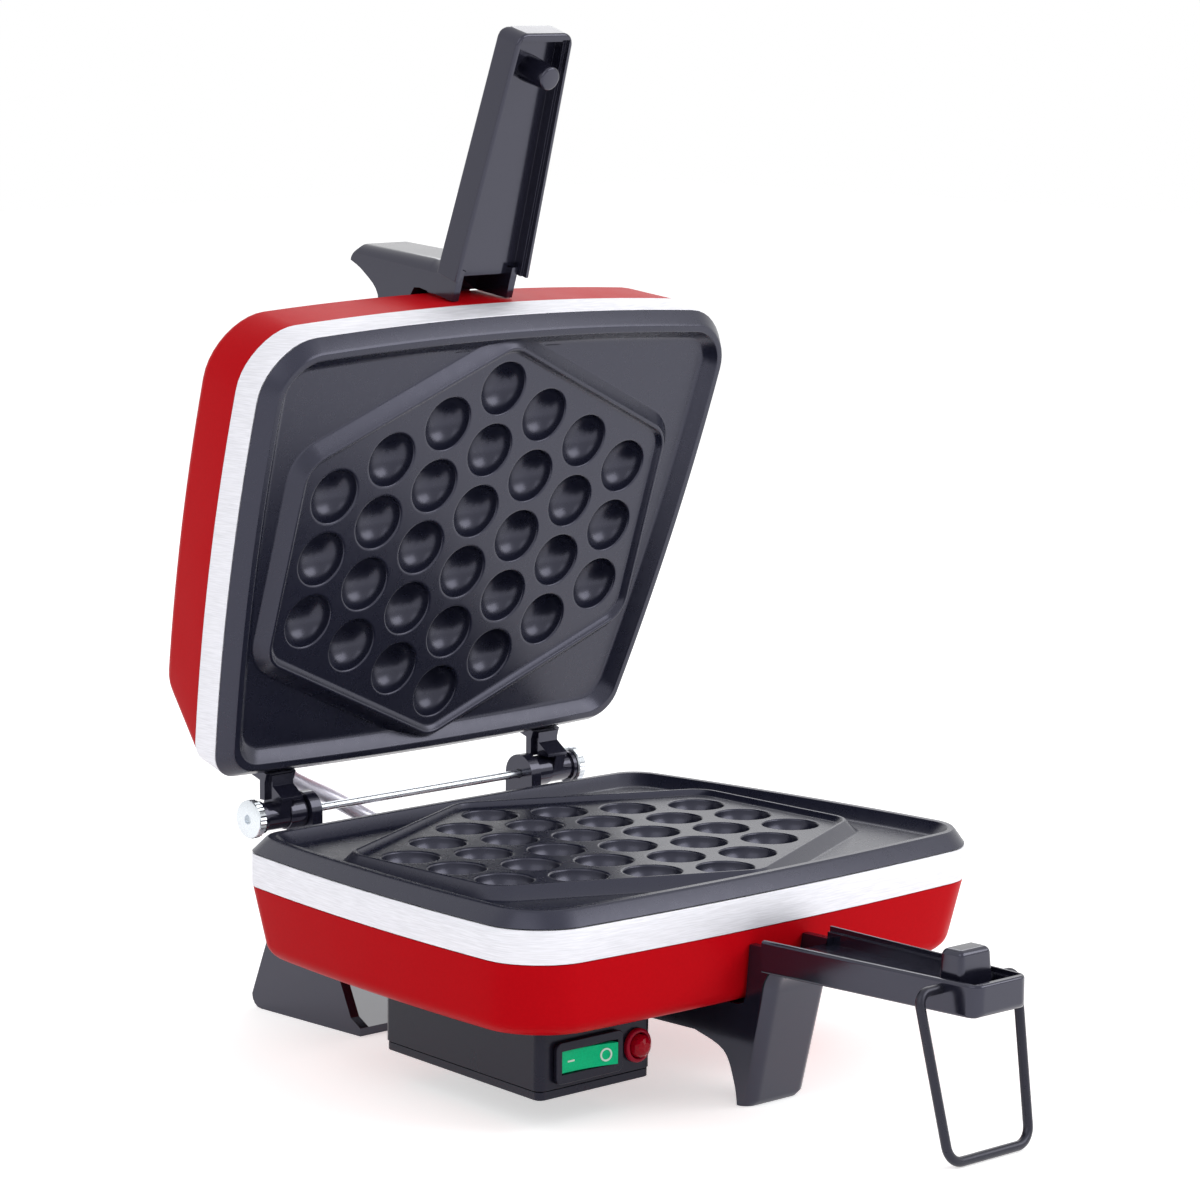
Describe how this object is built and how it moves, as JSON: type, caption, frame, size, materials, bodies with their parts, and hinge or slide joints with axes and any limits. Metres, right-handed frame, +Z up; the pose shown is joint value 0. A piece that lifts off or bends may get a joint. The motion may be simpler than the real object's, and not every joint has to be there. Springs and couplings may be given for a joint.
{
  "type": "mini bubble waffle maker",
  "caption": "Hinged bubble waffle maker: two hexagon-field cup plates in banded shells, channel handles with a wire latch bail, rear foot bracket and switch box",
  "frame": {"origin": "centre of the bounding box's floor face, on the table under the feet", "axes": "+X to the right along the hinge rod seen from the handles, +Y from the handles to the hinge, +Z up"},
  "size_m": [0.2238, 0.3256, 0.3637],
  "materials": {
    "red_shell": "gloss red paint",
    "steel_band": "brushed along the band",
    "hot_plate": "dark non-stick coating on cast aluminium",
    "black_plastic": "semi-gloss moulded plastic",
    "bail_wire": "black painted steel wire",
    "zinc": "bright zinc plating",
    "conduit": "bright flexible steel",
    "green_rocker": "clear green",
    "red_lamp": "clear red",
    "inner_sheet": "plain sheet",
    "element": "oxidised sheath",
    "ceramic": "unglazed"
  },
  "bodies": {
    "base": {"base_band": "steel_band", "base_heater": "element", "base_hotplate": "hot_plate", "base_housing": "red_shell", "base_shield": "inner_sheet", "base_thermostat": "ceramic", "bracket_screw_left": "zinc", "bracket_screw_right": "zinc", "conduit": "conduit", "conduit_fitting_base": "zinc", "control_box": "black_plastic", "control_box_cover": "black_plastic", "cover_screw_front": "zinc", "cover_screw_rear": "zinc", "handle_block": "black_plastic", "hinge_bush_left": "black_plastic", "hinge_bush_right": "black_plastic", "hinge_rod": "zinc", "lamp_bezel": "red_lamp", "lamp_lens": "red_lamp", "lower_handle": "black_plastic", "lower_handle_screw": "zinc", "rear_bracket": "black_plastic", "rod_cap_left": "zinc", "rod_cap_right": "zinc", "switch_bezel": "black_plastic", "switch_body": "black_plastic", "terminal_block": "ceramic", "thermal_fuse": "ceramic"},
    "lid": {"conduit_fitting_lid": "zinc", "handle_pin": "black_plastic", "hinge_arm_left": "black_plastic", "hinge_arm_right": "black_plastic", "hinge_screw_left": "zinc", "hinge_screw_right": "zinc", "lid_band": "steel_band", "lid_heater": "element", "lid_hotplate": "hot_plate", "lid_housing": "red_shell", "lid_shield": "inner_sheet", "lid_thermostat": "ceramic", "upper_handle": "black_plastic", "upper_handle_screw": "zinc"},
    "bail": {"latch_bail": "bail_wire"},
    "rocker": {"switch_rocker": "green_rocker"}
  },
  "joints": [
    {"name": "lid_hinge", "type": "hinge", "parent": "base", "child": "lid", "pos_m": [0, 0.12455, 0.081], "axis": [-1, 0, 0], "range_deg": [-72.5, 30], "deforming": ["conduit"]},
    {"name": "bail_swing", "type": "hinge", "parent": "base", "child": "bail", "pos_m": [0, -0.14735, 0.0574], "axis": [-1, 0, 0], "range_deg": [0, 172]},
    {"name": "rocker_tilt", "type": "hinge", "parent": "base", "child": "rocker", "pos_m": [-0.07145, -0.03805, 0.0245], "axis": [0, 0, 1], "range_deg": [0, 14]}
  ]
}
